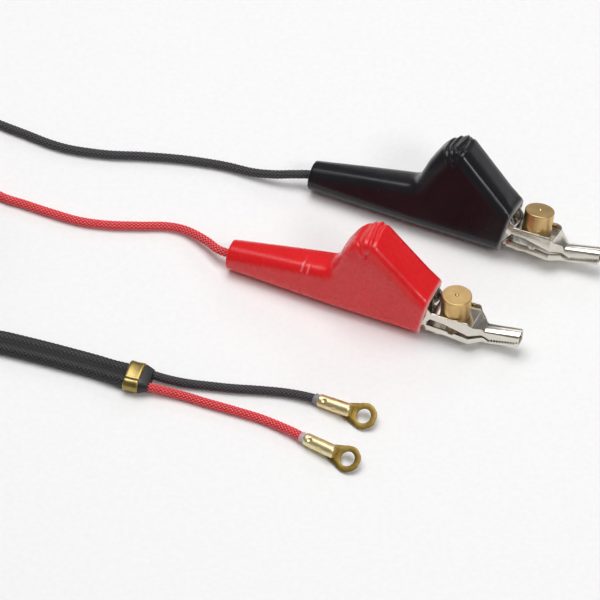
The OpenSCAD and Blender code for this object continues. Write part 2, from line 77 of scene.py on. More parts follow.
def clip_axes(colour):
    """Matrix from a clip's own axes (x along it, z up its back) to the row's."""
    hinge = next(j for j in frame["joints"] if j["name"] == colour + "_jaw_hinge")
    y = -Vector(hinge["axis"]).normalized()
    x = y.cross(Vector((0, 0, 1))).normalized()
    z = x.cross(y)
    turn = Matrix((x, y, z)).transposed().to_4x4()
    pivot = Vector((PIVOT[0] * MM, 0, PIVOT[1] * MM))
    return Matrix.Translation(Vector(hinge["pos_m"]) - turn @ pivot) @ turn


AXES = {colour: clip_axes(colour) for colour in CLIPS}


def seat_axes(at, heading, pitch=0.0, roll=0.0):
    """Matrix of a seat on the cord: place in mm, then heading, pitch, roll."""
    turn = (Matrix.Rotation(math.radians(heading), 4, "Z")
            @ Matrix.Rotation(math.radians(pitch), 4, "Y")
            @ Matrix.Rotation(math.radians(roll), 4, "X"))
    return Matrix.Translation(Vector(at) * MM) @ turn


RING_BAND = seat_axes((-77.9, -42.2, BAND_T / 2), -17.3)
CLIP_BAND = seat_axes((-138.2, 56.1, BAND_T / 2), 177.0)
TERMINALS = {
    "black": seat_axes((-26.9, -50, 2.05), -28.0, TERMINAL_PITCH, TERMINAL_ROLL),
    "red": seat_axes((-30.7, -63.6, 2.05), -34.5, TERMINAL_PITCH, TERMINAL_ROLL)}


# ---- Camera, floor and light ----------------------------------------------

VIEW_CENTRE = Vector((-0.0323, -0.0124, 0.0))
ELEVATION = 50.0
DISTANCE = 1.4
VIEW_WIDTH = 0.168
SENSOR = 36.0


def aim(obj, target):
    obj.rotation_euler = (target - obj.location).to_track_quat("-Z", "Y").to_euler()


def make_camera():
    data = bpy.data.cameras.new("camera")
    data.sensor_width = SENSOR
    data.lens = SENSOR * DISTANCE / VIEW_WIDTH
    data.clip_start, data.clip_end = 0.05, 20.0
    camera = bpy.data.objects.new("camera", data)
    bpy.context.scene.collection.objects.link(camera)
    tilt = math.radians(ELEVATION)
    camera.location = VIEW_CENTRE + DISTANCE * Vector((0, -math.cos(tilt), math.sin(tilt)))
    aim(camera, VIEW_CENTRE)
    bpy.context.scene.camera = camera


def area_light(name, at, size, watts, colour=(1, 1, 1)):
    data = bpy.data.lights.new(name, "AREA")
    data.shape = "RECTANGLE"
    data.size, data.size_y = size
    data.energy = watts
    data.color = colour
    light = bpy.data.objects.new(name, data)
    bpy.context.scene.collection.objects.link(light)
    light.location = at
    aim(light, VIEW_CENTRE)


def make_lights():
    area_light("top", (-0.1, 0.12, 0.95), (0.75, 0.75), 7.5)
    area_light("front", (0.42, -0.52, 0.66), (0.2, 0.2), 1.6)
    area_light("back", (0.3, 0.75, 0.55), (0.5, 0.3), 0.8)
    world = bpy.data.worlds.new("studio")
    world.use_nodes = True
    background = world.node_tree.nodes["Background"]
    background.inputs["Color"].default_value = (1, 1, 1, 1)
    background.inputs["Strength"].default_value = 0.2
    bpy.context.scene.world = world
    bpy.context.scene.view_settings.view_transform = "Standard"


# ---- Mesh helpers ---------------------------------------------------------

def new_object(name, verts, faces, matrix=None):
    """A smooth-shaded mesh object from verts in metres."""
    mesh = bpy.data.meshes.new(name)
    mesh.from_pydata([tuple(v) for v in verts], [], [tuple(f) for f in faces])
    mesh.validate()
    if matrix is not None:
        mesh.transform(matrix)
    mesh.polygons.foreach_set("use_smooth", [True] * len(mesh.polygons))
    mesh.update()
    obj = bpy.data.objects.new(name, mesh)
    bpy.context.scene.collection.objects.link(obj)
    return obj


def apply_modifiers(obj):
    """Bakes the object's modifiers into its mesh."""
    graph = bpy.context.evaluated_depsgraph_get()
    mesh = bpy.data.meshes.new_from_object(obj.evaluated_get(graph))
    obj.modifiers.clear()
    obj.data = mesh


def smooth_by_angle(obj, degrees=32.0):
    """Keeps edges sharper than the angle crisp and smooths the rest."""
    limit = math.radians(degrees)
    work = bmesh.new()
    work.from_mesh(obj.data)
    for face in work.faces:
        face.smooth = True
    for edge in work.edges:
        edge.smooth = not (len(edge.link_faces) == 2 and edge.calc_face_angle() > limit)
    work.to_mesh(obj.data)
    work.free()


def copy_of(node, name):
    """A new piece with the mesh of a CAD node, welded and with flat faces joined."""
    obj = bpy.data.objects.new(name, NODES[node].data.copy())
    bpy.context.scene.collection.objects.link(obj)
    obj.data.materials.clear()
    work = bmesh.new()
    work.from_mesh(obj.data)
    bmesh.ops.remove_doubles(work, verts=work.verts, dist=0.002 * MM)
    bmesh.ops.dissolve_limit(work, angle_limit=math.radians(0.5),
                             verts=work.verts, edges=work.edges)
    work.to_mesh(obj.data)
    work.free()
    return obj


def bevelled(obj, width, segments, angle):
    """Bevels edges sharper than the angle by a width in mm."""
    bevel = obj.modifiers.new("bevel", "BEVEL")
    bevel.width = width * MM
    bevel.segments = segments
    bevel.limit_method = "ANGLE"
    bevel.angle_limit = math.radians(angle)
    bevel.use_clamp_overlap = True
    apply_modifiers(obj)
    smooth_by_angle(obj)
    return obj


def finish_piece(obj, body, slot, material, *nodes):
    """Gives a piece its body, material and the CAD nodes it stands for.

    A piece that blends across a joint has no body of its own. The slot argument is not used."""
    obj.data.materials.clear()
    obj.data.materials.append(material)
    if body:
        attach(obj, body)
    if nodes:
        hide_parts(*nodes)
    return obj


def lathe(profile, steps):
    """Verts and faces of a profile of (radius, height) turned about z."""
    verts, faces = [], []
    for r, h in profile:
        for k in range(steps):
            a = 2 * math.pi * k / steps
            verts.append((r * math.cos(a) * MM, r * math.sin(a) * MM, h * MM))
    for i in range(len(profile) - 1):
        for k in range(steps):
            n = (k + 1) % steps
            faces.append((i * steps + k, i * steps + n,
                          (i + 1) * steps + n, (i + 1) * steps + k))
    faces.append(tuple(range(steps - 1, -1, -1)))
    last = (len(profile) - 1) * steps
    faces.append(tuple(range(last, last + steps)))
    return verts, faces


# ---- Cord paths -----------------------------------------------------------

def flowing(points, step):
    """A smooth line through given points, sampled evenly, in metres."""
    pts = [np.array(p, float) for p in points]
    pts = [2 * pts[0] - pts[1]] + pts + [2 * pts[-1] - pts[-2]]
    fine = []
    for i in range(1, len(pts) - 2):
        p0, p1, p2, p3 = pts[i - 1:i + 3]
        gap = [math.sqrt(np.linalg.norm(b - a)) for a, b in ((p0, p1), (p1, p2), (p2, p3))]
        m1 = gap[1] * ((p1 - p0) / gap[0] - (p2 - p0) / (gap[0] + gap[1])) + (p2 - p1)
        m2 = gap[1] * ((p3 - p2) / gap[2] - (p3 - p1) / (gap[1] + gap[2])) + (p2 - p1)
        for t in np.linspace(0, 1, 24, endpoint=False):
            fine.append((2 * t**3 - 3 * t**2 + 1) * p1 + (t**3 - 2 * t**2 + t) * m1
                        + (3 * t**2 - 2 * t**3) * p2 + (t**3 - t**2) * m2)
    fine.append(pts[-2])
    fine = np.array(fine)
    along = np.concatenate([[0], np.cumsum(np.linalg.norm(np.diff(fine, axis=0), axis=1))])
    count = max(2, int(round(along[-1] / step)) + 1)
    at = np.linspace(0, along[-1], count)
    return np.stack([np.interp(at, along, fine[:, k]) for k in range(3)], axis=1) * MM


def path_frames(path):
    """Unit sideways and upward vectors along a path."""
    ahead = np.gradient(path, axis=0)
    ahead /= np.linalg.norm(ahead, axis=1)[:, None]
    side = np.cross([0.0, 0.0, 1.0], ahead)
    side /= np.linalg.norm(side, axis=1)[:, None]
    return side, np.cross(ahead, side)


# ---- Braided cords --------------------------------------------------------

def braid_height(p, q):
    """Height, 0 to 1, of a one over one braid at strand counts p and q."""
    s, t = p + q, p - q
    i, j = np.floor(s), np.floor(t)
    f, g = s - i - 0.5, t - j - 0.5
    first = (i + j) % 2 < 0.5
    across = np.where(first, f, g)
    lengthways = np.where(first, g, f)
    return np.cos(math.pi * across) * (0.55 + 0.45 * np.cos(math.pi * lengthways))


def oval(width, thick, sides):
    """Points and outward normals of a flat oval of two round edges, in mm."""
    flat = width - thick
    r = thick / 2
    around = 2 * flat + math.pi * thick
    points, normals = [], []
    for k in range(sides):
        s = around * k / sides
        if s < flat:
            points.append((flat / 2 - s, r))
            normals.append((0, 1))
            continue
        s -= flat
        if s < math.pi * r:
            a = math.pi / 2 + s / r
            points.append((-flat / 2 + r * math.cos(a), r * math.sin(a)))
            normals.append((math.cos(a), math.sin(a)))
            continue
        s -= math.pi * r
        if s < flat:
            points.append((-flat / 2 + s, -r))
            normals.append((0, -1))
            continue
        a = -math.pi / 2 + (s - flat) / r
        points.append((flat / 2 + r * math.cos(a), r * math.sin(a)))
        normals.append((math.cos(a), math.sin(a)))
    return np.array(points), np.array(normals)


def braid(name, path, width, thick, strands, pitch, relief, sides, waist=0.0):
    """A braided cord: an oval swept along path, its strands standing proud.

    waist pinches the oval's middle, so that two cords show side by side, and lowers the relief
    there, which the braid's colours show as painted shade in the groove."""
    points, normals = oval(width, thick, sides)
    if waist:
        dip = waist * np.exp(-(points[:, 0] / (0.16 * width)) ** 2)
        points = points - np.sign(points[:, 1])[:, None] * dip[:, None] * [0, 1]
    side, up = path_frames(path)
    rows = len(path)
    p = np.arange(sides)[None, :] * strands / sides
    step = np.linalg.norm(path[1] - path[0]) / MM
    q = np.arange(rows)[:, None] * step / pitch
    height = braid_height(p, q)
    # The middle groove sinks, and through the relief attribute it also takes painted shade
    if waist:
        height = height * (1 - 0.85 * np.exp(-(points[None, :, 0] / (0.07 * width)) ** 2))
    lift = relief * (height - 1.0)
    x = points[None, :, 0] + normals[None, :, 0] * lift
    y = points[None, :, 1] + normals[None, :, 1] * lift
    verts = (path[:, None, :] + side[:, None, :] * x[..., None] * MM
             + up[:, None, :] * y[..., None] * MM).reshape(-1, 3)
    a = np.arange(rows - 1)[:, None] * sides + np.arange(sides)[None, :]
    b = np.arange(rows - 1)[:, None] * sides + (np.arange(sides)[None, :] + 1) % sides
    quads = np.stack([a, b, b + sides, a + sides], axis=-1).reshape(-1, 4)
    faces = [tuple(f) for f in quads.tolist()]
    faces.append(tuple(range(sides - 1, -1, -1)))
    faces.append(tuple(range((rows - 1) * sides, rows * sides)))
    obj = new_object(name, verts.tolist(), faces)
    shade = obj.data.attributes.new("relief", "FLOAT", "POINT")
    shade.data.foreach_set("value", height.reshape(-1).astype(np.float32))
    return obj


# ---- Materials ------------------------------------------------------------

def material(name):
    """An empty node material; returns it, its nodes' maker and its shader."""
    mat = bpy.data.materials.new(name)
    mat.use_nodes = True
    tree = mat.node_tree
    shader = tree.nodes["Principled BSDF"]

    def node(kind, **settings):
        made = tree.nodes.new(kind)
        for key, value in settings.items():
            if hasattr(made, key):
                setattr(made, key, value)
            else:
                made.inputs[key.replace("_", " ")].default_value = value
        return made

    return mat, tree.links.new, node, shader


def ramp_of(node, *stops):
    """A colour ramp with (position, (r, g, b)) stops."""
    ramp = node("ShaderNodeValToRGB")
    while len(ramp.color_ramp.elements) < len(stops):
        ramp.color_ramp.elements.new(0.5)
    for element, (at, rgb) in zip(ramp.color_ramp.elements, stops):
        element.position = at
        element.color = (*rgb, 1.0)
    return ramp


def object_noise(link, node, scale, detail=3.0, stretch=(1, 1, 1)):
    """Noise over the piece's own coordinates, in cycles per metre."""
    where = node("ShaderNodeTexCoord")
    mapping = node("ShaderNodeMapping")
    mapping.inputs["Scale"].default_value = stretch
    link(where.outputs["Object"], mapping.inputs["Vector"])
    noise = node("ShaderNodeTexNoise")
    noise.inputs["Scale"].default_value = scale
    noise.inputs["Detail"].default_value = detail
    link(mapping.outputs["Vector"], noise.inputs["Vector"])
    return noise


def bump_from(link, node, shader, height, distance, strength=1.0):
    bump = node("ShaderNodeBump")
    bump.inputs["Distance"].default_value = distance
    bump.inputs["Strength"].default_value = strength
    link(height, bump.inputs["Height"])
    link(bump.outputs["Normal"], shader.inputs["Normal"])


def vinyl(name, base, tint, sheen_rough, rim_highlight_and_nick=(0.5, 0.5, 0.5), gloss=0.5):
    """Dip-moulded vinyl: glossy, with faint flow marks and handling haze.

    Its cut rim carries a painted highlight and its nicks show lighter, both where the pale
    attribute is high."""
    mat, link, node, shader = material(name)
    blotch = object_noise(link, node, 90.0, 2.0)
    colour = ramp_of(node, (0.3, base), (0.75, tint))
    link(blotch.outputs["Fac"], colour.inputs["Fac"])
    # The pale attribute mixes in a painted highlight along the mouth's rim, and lightens the nicks
    pale = node("ShaderNodeAttribute")
    pale.attribute_name = "pale"
    highlight_and_nick_mix = node("ShaderNodeMix")
    highlight_and_nick_mix.data_type = "RGBA"
    highlight_and_nick_mix.inputs["B"].default_value = (*rim_highlight_and_nick, 1)
    link(pale.outputs["Fac"], highlight_and_nick_mix.inputs["Factor"])
    link(colour.outputs["Color"], highlight_and_nick_mix.inputs["A"])
    link(highlight_and_nick_mix.outputs["Result"], shader.inputs["Base Color"])
    haze = object_noise(link, node, 420.0, 4.0)
    rough = node("ShaderNodeMapRange")
    rough.inputs["To Min"].default_value = sheen_rough
    rough.inputs["To Max"].default_value = sheen_rough + 0.16
    link(haze.outputs["Fac"], rough.inputs["Value"])
    link(rough.outputs["Result"], shader.inputs["Roughness"])
    flow = object_noise(link, node, 260.0, 2.0, (1, 1, 0.4))
    bump_from(link, node, shader, flow.outputs["Fac"], 0.00003, 0.5)
    shader.inputs["IOR"].default_value = 1.5
    shader.inputs["Specular IOR Level"].default_value = gloss
    return mat


def braided(name, deep, mid, crown_highlight, sheen):
    """Braided yarn: painted shade between the strands and a painted highlight on their crowns, set
    by the relief height; fine filaments along them.
    """
    mat, link, node, shader = material(name)
    relief = node("ShaderNodeAttribute")
    relief.attribute_name = "relief"
    # Colour follows relief: the deep colour is painted shade in the gaps between strands, the crown
    # highlight painted light on their tops
    colour = ramp_of(node, (0.1, deep), (0.5, mid), (0.95, crown_highlight))
    fuzz = object_noise(link, node, 2600.0, 3.0)
    spread = node("ShaderNodeMath", operation="MULTIPLY_ADD")
    spread.inputs[1].default_value = 0.5
    spread.inputs[2].default_value = -0.25
    link(fuzz.outputs["Fac"], spread.inputs[0])
    shade = node("ShaderNodeMath", operation="ADD")
    link(relief.outputs["Fac"], shade.inputs[0])
    link(spread.outputs[0], shade.inputs[1])
    link(shade.outputs[0], colour.inputs["Fac"])
    link(colour.outputs["Color"], shader.inputs["Base Color"])
    filament = object_noise(link, node, 5200.0, 2.0, (1, 1, 0.5))
    bump_from(link, node, shader, filament.outputs["Fac"], 0.00008, 0.7)
    shader.inputs["Roughness"].default_value = 0.62
    shader.inputs["Sheen Weight"].default_value = sheen
    shader.inputs["Sheen Roughness"].default_value = 0.4
    return mat


def metal(name, base, dull, rough, wear_scale=300.0, grain=(1, 1, 1),
          grain_depth=0.000004):
    """Metal with a mottled tone, smudged gloss and a fine grain."""
    mat, link, node, shader = material(name)
    tone = object_noise(link, node, wear_scale, 4.0)
    colour = ramp_of(node, (0.35, base), (0.7, dull))
    link(tone.outputs["Fac"], colour.inputs["Fac"])
    link(colour.outputs["Color"], shader.inputs["Base Color"])
    smudge = object_noise(link, node, 900.0, 5.0)
    gloss = node("ShaderNodeMapRange")
    gloss.inputs["To Min"].default_value = max(0.02, rough - 0.08)
    gloss.inputs["To Max"].default_value = rough + 0.12
    link(smudge.outputs["Fac"], gloss.inputs["Value"])
    link(gloss.outputs["Result"], shader.inputs["Roughness"])
    lines = object_noise(link, node, 3500.0, 2.0, grain)
    bump_from(link, node, shader, lines.outputs["Fac"], grain_depth, 0.6)
    shader.inputs["Metallic"].default_value = 1.0
    return mat


def clear_film(name, low, high):
    """Thin clear shrink film, slightly tinted and milky."""
    mat, link, node, shader = material(name)
    cloud = object_noise(link, node, 800.0, 3.0)
    colour = ramp_of(node, (0.3, low), (0.8, high))
    link(cloud.outputs["Fac"], colour.inputs["Fac"])
    link(colour.outputs["Color"], shader.inputs["Base Color"])
    shader.inputs["Roughness"].default_value = 0.25
    shader.inputs["Alpha"].default_value = 0.62
    shader.inputs["IOR"].default_value = 1.45
    return mat


def floor_paper():
    mat, link, node, shader = material("floor_paper")
    grain = object_noise(link, node, 700.0, 3.0)
    colour = ramp_of(node, (0.3, (0.9, 0.9, 0.9)), (0.7, (0.93, 0.93, 0.93)))
    link(grain.outputs["Fac"], colour.inputs["Fac"])
    link(colour.outputs["Color"], shader.inputs["Base Color"])
    shader.inputs["Roughness"].default_value = 0.9
    return mat


def make_materials():
    """Every finish by name; colours are linear, dark or base tone first."""
    return {
        # Each vinyl's fourth colour is a painted highlight for the boot's mouth rim, also used for
        # its lighter nicks
        "black_vinyl": vinyl("black_vinyl", (0.008, 0.008, 0.011), (0.013, 0.011, 0.014), 0.16,
                             (0.3, 0.28, 0.28), 0.32),
        "red_vinyl": vinyl("red_vinyl", (0.72, 0.004, 0.008), (0.78, 0.007, 0.012), 0.2,
                           (0.9, 0.42, 0.42), 0.6),
        # Each braid's first colour is painted shade between the strands and its last a painted
        # highlight on their crowns
        "black_braid": braided("black_braid", (0.003, 0.003, 0.003), (0.024, 0.022, 0.026),
                               (0.1, 0.095, 0.105), 0.15),
        "red_braid": braided("red_braid", (0.16, 0.001, 0.004), (0.74, 0.016, 0.028),
                             (1.0, 0.2, 0.2), 0.15),
        "sheath_braid": braided("sheath_braid", (0.004, 0.004, 0.004), (0.01, 0.01, 0.011),
                                (0.06, 0.06, 0.068), 0.08),
        "nickel_steel": metal("nickel_steel", (0.74, 0.7, 0.63), (0.64, 0.6, 0.53), 0.2, 160.0),
        "spring_steel": metal("spring_steel", (0.5, 0.5, 0.5), (0.4, 0.4, 0.41), 0.25),
        "turned_brass": metal("turned_brass", (0.7, 0.48, 0.22), (0.56, 0.37, 0.15), 0.36,
                              300.0, (1, 1, 6), 0.000008),
        "terminal_brass": metal("terminal_brass", (0.84, 0.74, 0.44), (0.74, 0.62, 0.33), 0.38,
                                350.0),
        # The ring's brass is the terminal brass darkened: painted shade
        "shaded_ring_brass": metal("shaded_ring_brass", (0.3, 0.21, 0.055), (0.22, 0.14, 0.035), 0.4, 450.0),
        "band_brass": metal("band_brass", (0.4, 0.3, 0.11), (0.3, 0.22, 0.07), 0.3, 420.0),
        "copper": metal("copper", (0.8, 0.46, 0.3), (0.62, 0.32, 0.2), 0.3),
        "film_black": clear_film("film_black", (0.3, 0.28, 0.33), (0.45, 0.43, 0.48)),
        "film_red": clear_film("film_red", (0.62, 0.5, 0.52), (0.78, 0.66, 0.68)),
        "film": vinyl("dark_film", (0.012, 0.012, 0.013), (0.02, 0.02, 0.021), 0.36),
        "tie_nylon": vinyl("tie_nylon", (0.01, 0.01, 0.01), (0.02, 0.02, 0.02), 0.4),
    }


# ---- Cords: routes as the CAD source lays them, in millimetres -------------

LEAD_EXIT = (0, 0, 4.3)
BLACK_LEAD = [
    (-33.7, 30.4, 4.7), (-39.7, 31.5, 3.4), (-45.7, 33.5, 2), (-53.7, 36.5, 1.4),
    (-64.7, 38.9, 1.3), (-76.7, 40.3, 1.3), (-87.7, 41, 1.3), (-98.7, 43.1, 1.3),
    (-104.7, 45.4, 1.3), (-110.7, 48.5, 1.3), (-116.7, 51.5, 1.3), (-121.7, 54.1, 1.3),
    (-127.7, 56.9, 1.6), (-133.7, 58.1, 2.4)]
RED_LEAD = [
    (-55.2, 2.7, 4), (-58.7, 6.7, 3.2), (-64.7, 11.9, 1.8), (-69.7, 13.7, 1.3),
    (-77.7, 13.9, 1.3), (-86.7, 14.3, 1.3), (-94.7, 15.7, 1.3), (-103.7, 19.1, 1.3),
    (-110.7, 22.1, 1.3), (-117.2, 24.9, 1.3), (-121.2, 28.6, 1.3),
    (-123.2, 34.1, 1.3), (-124.7, 40.1, 1.3), (-126.7, 46.1, 1.3),
    (-129.7, 51.1, 1.6), (-133.7, 53.7, 2.4)]
BLACK_PIGTAIL = [
    (-73.7, -41.2, 2.5), (-68.7, -42.5, 1.8), (-63.7, -43.5, 1.4), (-56.7, -44.5, 1.3),
    (-50.7, -45.3, 1.3), (-43.7, -45.9, 1.3), (-37.7, -46.6, 1.3), (-32.7, -47.8, 1.6),
    (-28.7, -49.2, 1.9)]
RED_PIGTAIL = [
    (-75.1, -45.3, 2.4), (-69.7, -46.5, 1.8), (-63.7, -48.2, 1.4), (-58.7, -50.1, 1.3),
    (-53.7, -51.9, 1.3), (-47.7, -54.1, 1.3), (-42.7, -56.1, 1.3), (-37.7, -58.8, 1.5),
    (-33.7, -61.4, 1.9)]
SHEATH_RUN = [
    (-79.7, -41.6, 2.6), (-83.7, -40.1, 2.2), (-88.7, -37.9, 1.8), (-99.7, -34.1, 1.8),
    (-107.7, -31.5, 1.8), (-116.7, -28.9, 1.8), (-125.7, -27.7, 1.8),
    (-135.7, -28.3, 1.8), (-145.7, -30.1, 1.8), (-155.7, -31.5, 1.8)]
SHEATH_EXIT = [
    (-179.4, 45.7, 10.9), (-171.7, 48.5, 11), (-164.7, 51.1, 10.9), (-158.7, 53.1, 10),
    (-152.7, 54.7, 7.8), (-146.7, 55.7, 5), (-141.7, 56.1, 3), (-138.2, 56.1, 2.6)]
COIL_POINTS_PER_TURN = 24


def in_mm(matrix, point):
    """A point in mm, carried by a matrix that works in metres."""
    return tuple(c / MM for c in matrix @ (Vector(point) * MM))


def coil_points():
    """The coil's turns, clockwise up from the bottom of the first one."""
    count = int(COIL_SWEEP / 360 * COIL_POINTS_PER_TURN)
    for i in range(count):
        turned = COIL_SWEEP * i / count
        a = math.radians(-90 - turned)
        yield (COIL_AT[0] + COIL_R * math.cos(a), COIL_AT[1] + COIL_R * math.sin(a),
               SHEATH_T / 2 + TURN_RISE * turned / 360)


def sheath_points():
    return SHEATH_RUN + list(coil_points()) + SHEATH_EXIT


def lead_points(colour):
    route = BLACK_LEAD if colour == "black" else RED_LEAD
    inside = [in_mm(AXES[colour], (x, 0, LEAD_EXIT[2])) for x in (11.9, 6, 0)]
    return inside + route


def pigtail_points(colour):
    route = BLACK_PIGTAIL if colour == "black" else RED_PIGTAIL
    return route + [in_mm(TERMINALS[colour], (0, 0, 0))]


# Strands round the cord, millimetres along it for each strand, and their
# height: a tight plait of thin yarn
LEAD_STEP, LEAD_STRANDS, LEAD_PITCH, LEAD_RELIEF, LEAD_SIDES = 0.2, 8, 1.2, 0.3, 48
SHEATH_STEP, SHEATH_STRANDS, SHEATH_PITCH = 0.3, 16, 1.3
SHEATH_RELIEF, SHEATH_SIDES, SHEATH_WAIST = 0.3, 80, 0.8


def make_lead(colour, kind, points, step):
    path = flowing(points, step)
    cord = braid("{}_{}_braid".format(colour, kind), path, LEAD_D, LEAD_D,
                 LEAD_STRANDS, LEAD_PITCH, LEAD_RELIEF, LEAD_SIDES)
    return cord, path


def make_cords(mats):
    cords = {}
    for colour in CLIPS:
        for kind, points, nodes in (
                ("lead", lead_points(colour), [colour + "_lead", colour + "_lead_tail"]),
                ("pigtail", pigtail_points(colour), [colour + "_pigtail"])):
            obj, path = make_lead(colour, kind, points, LEAD_STEP)
            slot = colour + "_braid"
            finish_piece(obj, "root", slot, mats[slot], *nodes)
            cords[colour + "_" + kind] = (obj, path)
    path = flowing(sheath_points(), SHEATH_STEP)
    obj = braid("sheath_braid", path, SHEATH_W, SHEATH_T, SHEATH_STRANDS,
                SHEATH_PITCH, SHEATH_RELIEF, SHEATH_SIDES, SHEATH_WAIST)
    finish_piece(obj, "root", "sheath_braid", mats["sheath_braid"],
                 "sheath_run", "sheath_coil", "sheath_exit")
    cords["sheath"] = (obj, path)
    return cords


# ---- Boots ----------------------------------------------------------------

BOOT_VOXEL = 0.3
# Where the pleats of the hump's closed end meet, on both sides
PLEAT_AT = (41.7, 23.7)
PLEAT_REACH = (0.8, 7.2)
# Each fold: its heading in degrees, its bend per mm, its width and its depth
PLEAT_DEPTH = 0.34
PLEATS = {"red": ((70, 3.0, 10, 1.0), (98, -2.2, 9, 0.9), (128, 2.4, 11, 0.8)),
          "black": ((62, 2.4, 8, 0.9), (82, -2.6, 7, 1.0), (103, 2.2, 8, 1.0),
                    (130, -2.2, 10, 0.9))}
NICKS = {"red": (22.9, 24.7), "black": ()}


def window(value, low, high, soft):
    """1 between low and high, falling to 0 over soft on either side."""
    rise = np.clip((value - low) / soft + 1, 0, 1)
    fall = np.clip((high - value) / soft + 1, 0, 1)
    both = np.minimum(rise, fall)
    return both * both * (3 - 2 * both)


def coords_of(mesh):
    co = np.empty(len(mesh.vertices) * 3)
    mesh.vertices.foreach_get("co", co)
    return co.reshape(-1, 3)


def normals_of(mesh):
    out = np.empty(len(mesh.vertices) * 3, np.float32)
    mesh.vertex_normals.foreach_get("vector", out)
    return out.reshape(-1, 3)


def pleats(x, y, z, folds):
    """Height in mm of the folds that fan out from PLEAT_AT over the crest."""
    dx, dz = x - PLEAT_AT[0], z - PLEAT_AT[1]
    far = np.hypot(dx, dz)
    angle = np.degrees(np.arctan2(dz, dx))
    total = np.zeros_like(x)
    for heading, bend, wide, deep in folds:
        off = angle - heading - bend * (far - 3.5) - 1.3 * bend * np.sin(0.5 * y + heading)
        crease = -np.exp(-(off * far / (wide * 3.2)) ** 2)
        ridge = 0.55 * np.exp(-((off * far / (wide * 3.2) - 1.6) / 0.8) ** 2)
        total += deep * (crease + ridge)
    return total * window(far, *PLEAT_REACH, 2.0)


# The hollow where the neck runs into the hump, and how often each part is smoothed
HOLLOW_AT, HOLLOW_SQUASH = (33.5, 14.0), 0.8
HOLLOW_ROUNDS, SKIN_ROUNDS, RIDGE_ROUNDS = 90, 7, 140


def ahead_of_mouth(co):
    """Distance in mm in front of the plane of the boot's mouth."""
    mouth = Vector((MOUTH_LEAN, MOUTH_H)).normalized()
    return (co[:, 0] - BOOT_L) * mouth[1] - co[:, 2] * mouth[0]


def smooth_where(obj, name, weight, rounds):
    """Adds smoothing to the vertices where the weight is above nothing."""
    group = obj.vertex_groups.new(name=name)
    for i in np.nonzero(weight > 0.02)[0]:
        group.add([int(i)], float(weight[i]), "REPLACE")
    soften = obj.modifiers.new(name, "SMOOTH")
    soften.iterations = rounds
    soften.vertex_group = name


def make_boot(colour, mats):
    """The dipped boot: the CAD's, remeshed, smoothed and pleated."""
    axes = AXES[colour]
    slot = colour + "_vinyl"
    obj = bpy.data.objects.new(colour + "_boot_skin", NODES[colour + "_boot"].data.copy())
    bpy.context.scene.collection.objects.link(obj)
    obj.data.transform(axes.inverted())
    obj.data.materials.clear()
    remesh = obj.modifiers.new("remesh", "REMESH")
    remesh.mode = "VOXEL"
    remesh.voxel_size = BOOT_VOXEL * MM
    apply_modifiers(obj)

    # The hollow where the neck runs into the hump is softer than the rest
    co = coords_of(obj.data) / MM
    off = np.hypot(co[:, 0] - HOLLOW_AT[0], (co[:, 2] - HOLLOW_AT[1]) * HOLLOW_SQUASH)
    smooth_where(obj, "hollow", window(off, 0, 3.0, 3.0), HOLLOW_ROUNDS)
    smooth = obj.modifiers.new("smooth", "SMOOTH")
    smooth.iterations = SKIN_ROUNDS

    # Dipped vinyl rounds the hump's ridges; the mouth keeps its rim
    ridge = window(ahead_of_mouth(co), -100, -5, 3) * window(co[:, 2], 14, 100, 4)
    smooth_where(obj, "ridge", ridge, RIDGE_ROUNDS)
    apply_modifiers(obj)

    co = coords_of(obj.data) / MM
    out = normals_of(obj.data)
    x, y, z = co.T
    push = PLEAT_DEPTH * pleats(x, y, z, PLEATS[colour])
    # Small dimple where the pleats meet
    push -= 0.2 * np.exp(-((x - PLEAT_AT[0]) ** 2 + (z - PLEAT_AT[1] + 0.3) ** 2) / 0.2)
    # Sides drawn in a little, as thin vinyl over a frame is
    push -= 0.25 * np.exp(-((x - 46) / 9) ** 2 - ((z - 13) / 6) ** 2) * (np.abs(out[:, 1]) > 0.7)
    # A faint parting line along the neck's flank and hump
    push += 0.03 * np.exp(-((z - 2.6) / 0.3) ** 2)
    ahead = ahead_of_mouth(co)
    # Painted highlight: a band along the mouth's rim, lightened through the pale attribute
    rim = np.exp(-(np.minimum(ahead, 0) / 0.5) ** 2)
    push += 0.1 * np.exp(-((ahead + 0.9) / 0.7) ** 2)
    pale = rim.copy()
    for at in NICKS[colour]:
        nick = (np.exp(-((x - at - 0.1 * (z - 11)) / 0.2) ** 2)
                * window(z, 10.4, 12.0, 0.4) * (y < 0))
        push -= 0.1 * nick
        pale = np.maximum(pale, 0.5 * nick)
    co = co + out * push[:, None]
    obj.data.vertices.foreach_set("co", (co * MM).reshape(-1))
    obj.vertex_groups.clear()
    shade = obj.data.attributes.new("pale", "FLOAT", "POINT")
    shade.data.foreach_set("value", pale.astype(np.float32))
    obj.data.transform(axes)
    obj.data.polygons.foreach_set("use_smooth", [True] * len(obj.data.polygons))
    obj.data.update()
    finish_piece(obj, None, slot, mats[slot], colour + "_boot")
    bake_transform(obj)


# ---- Clip metal -----------------------------------------------------------

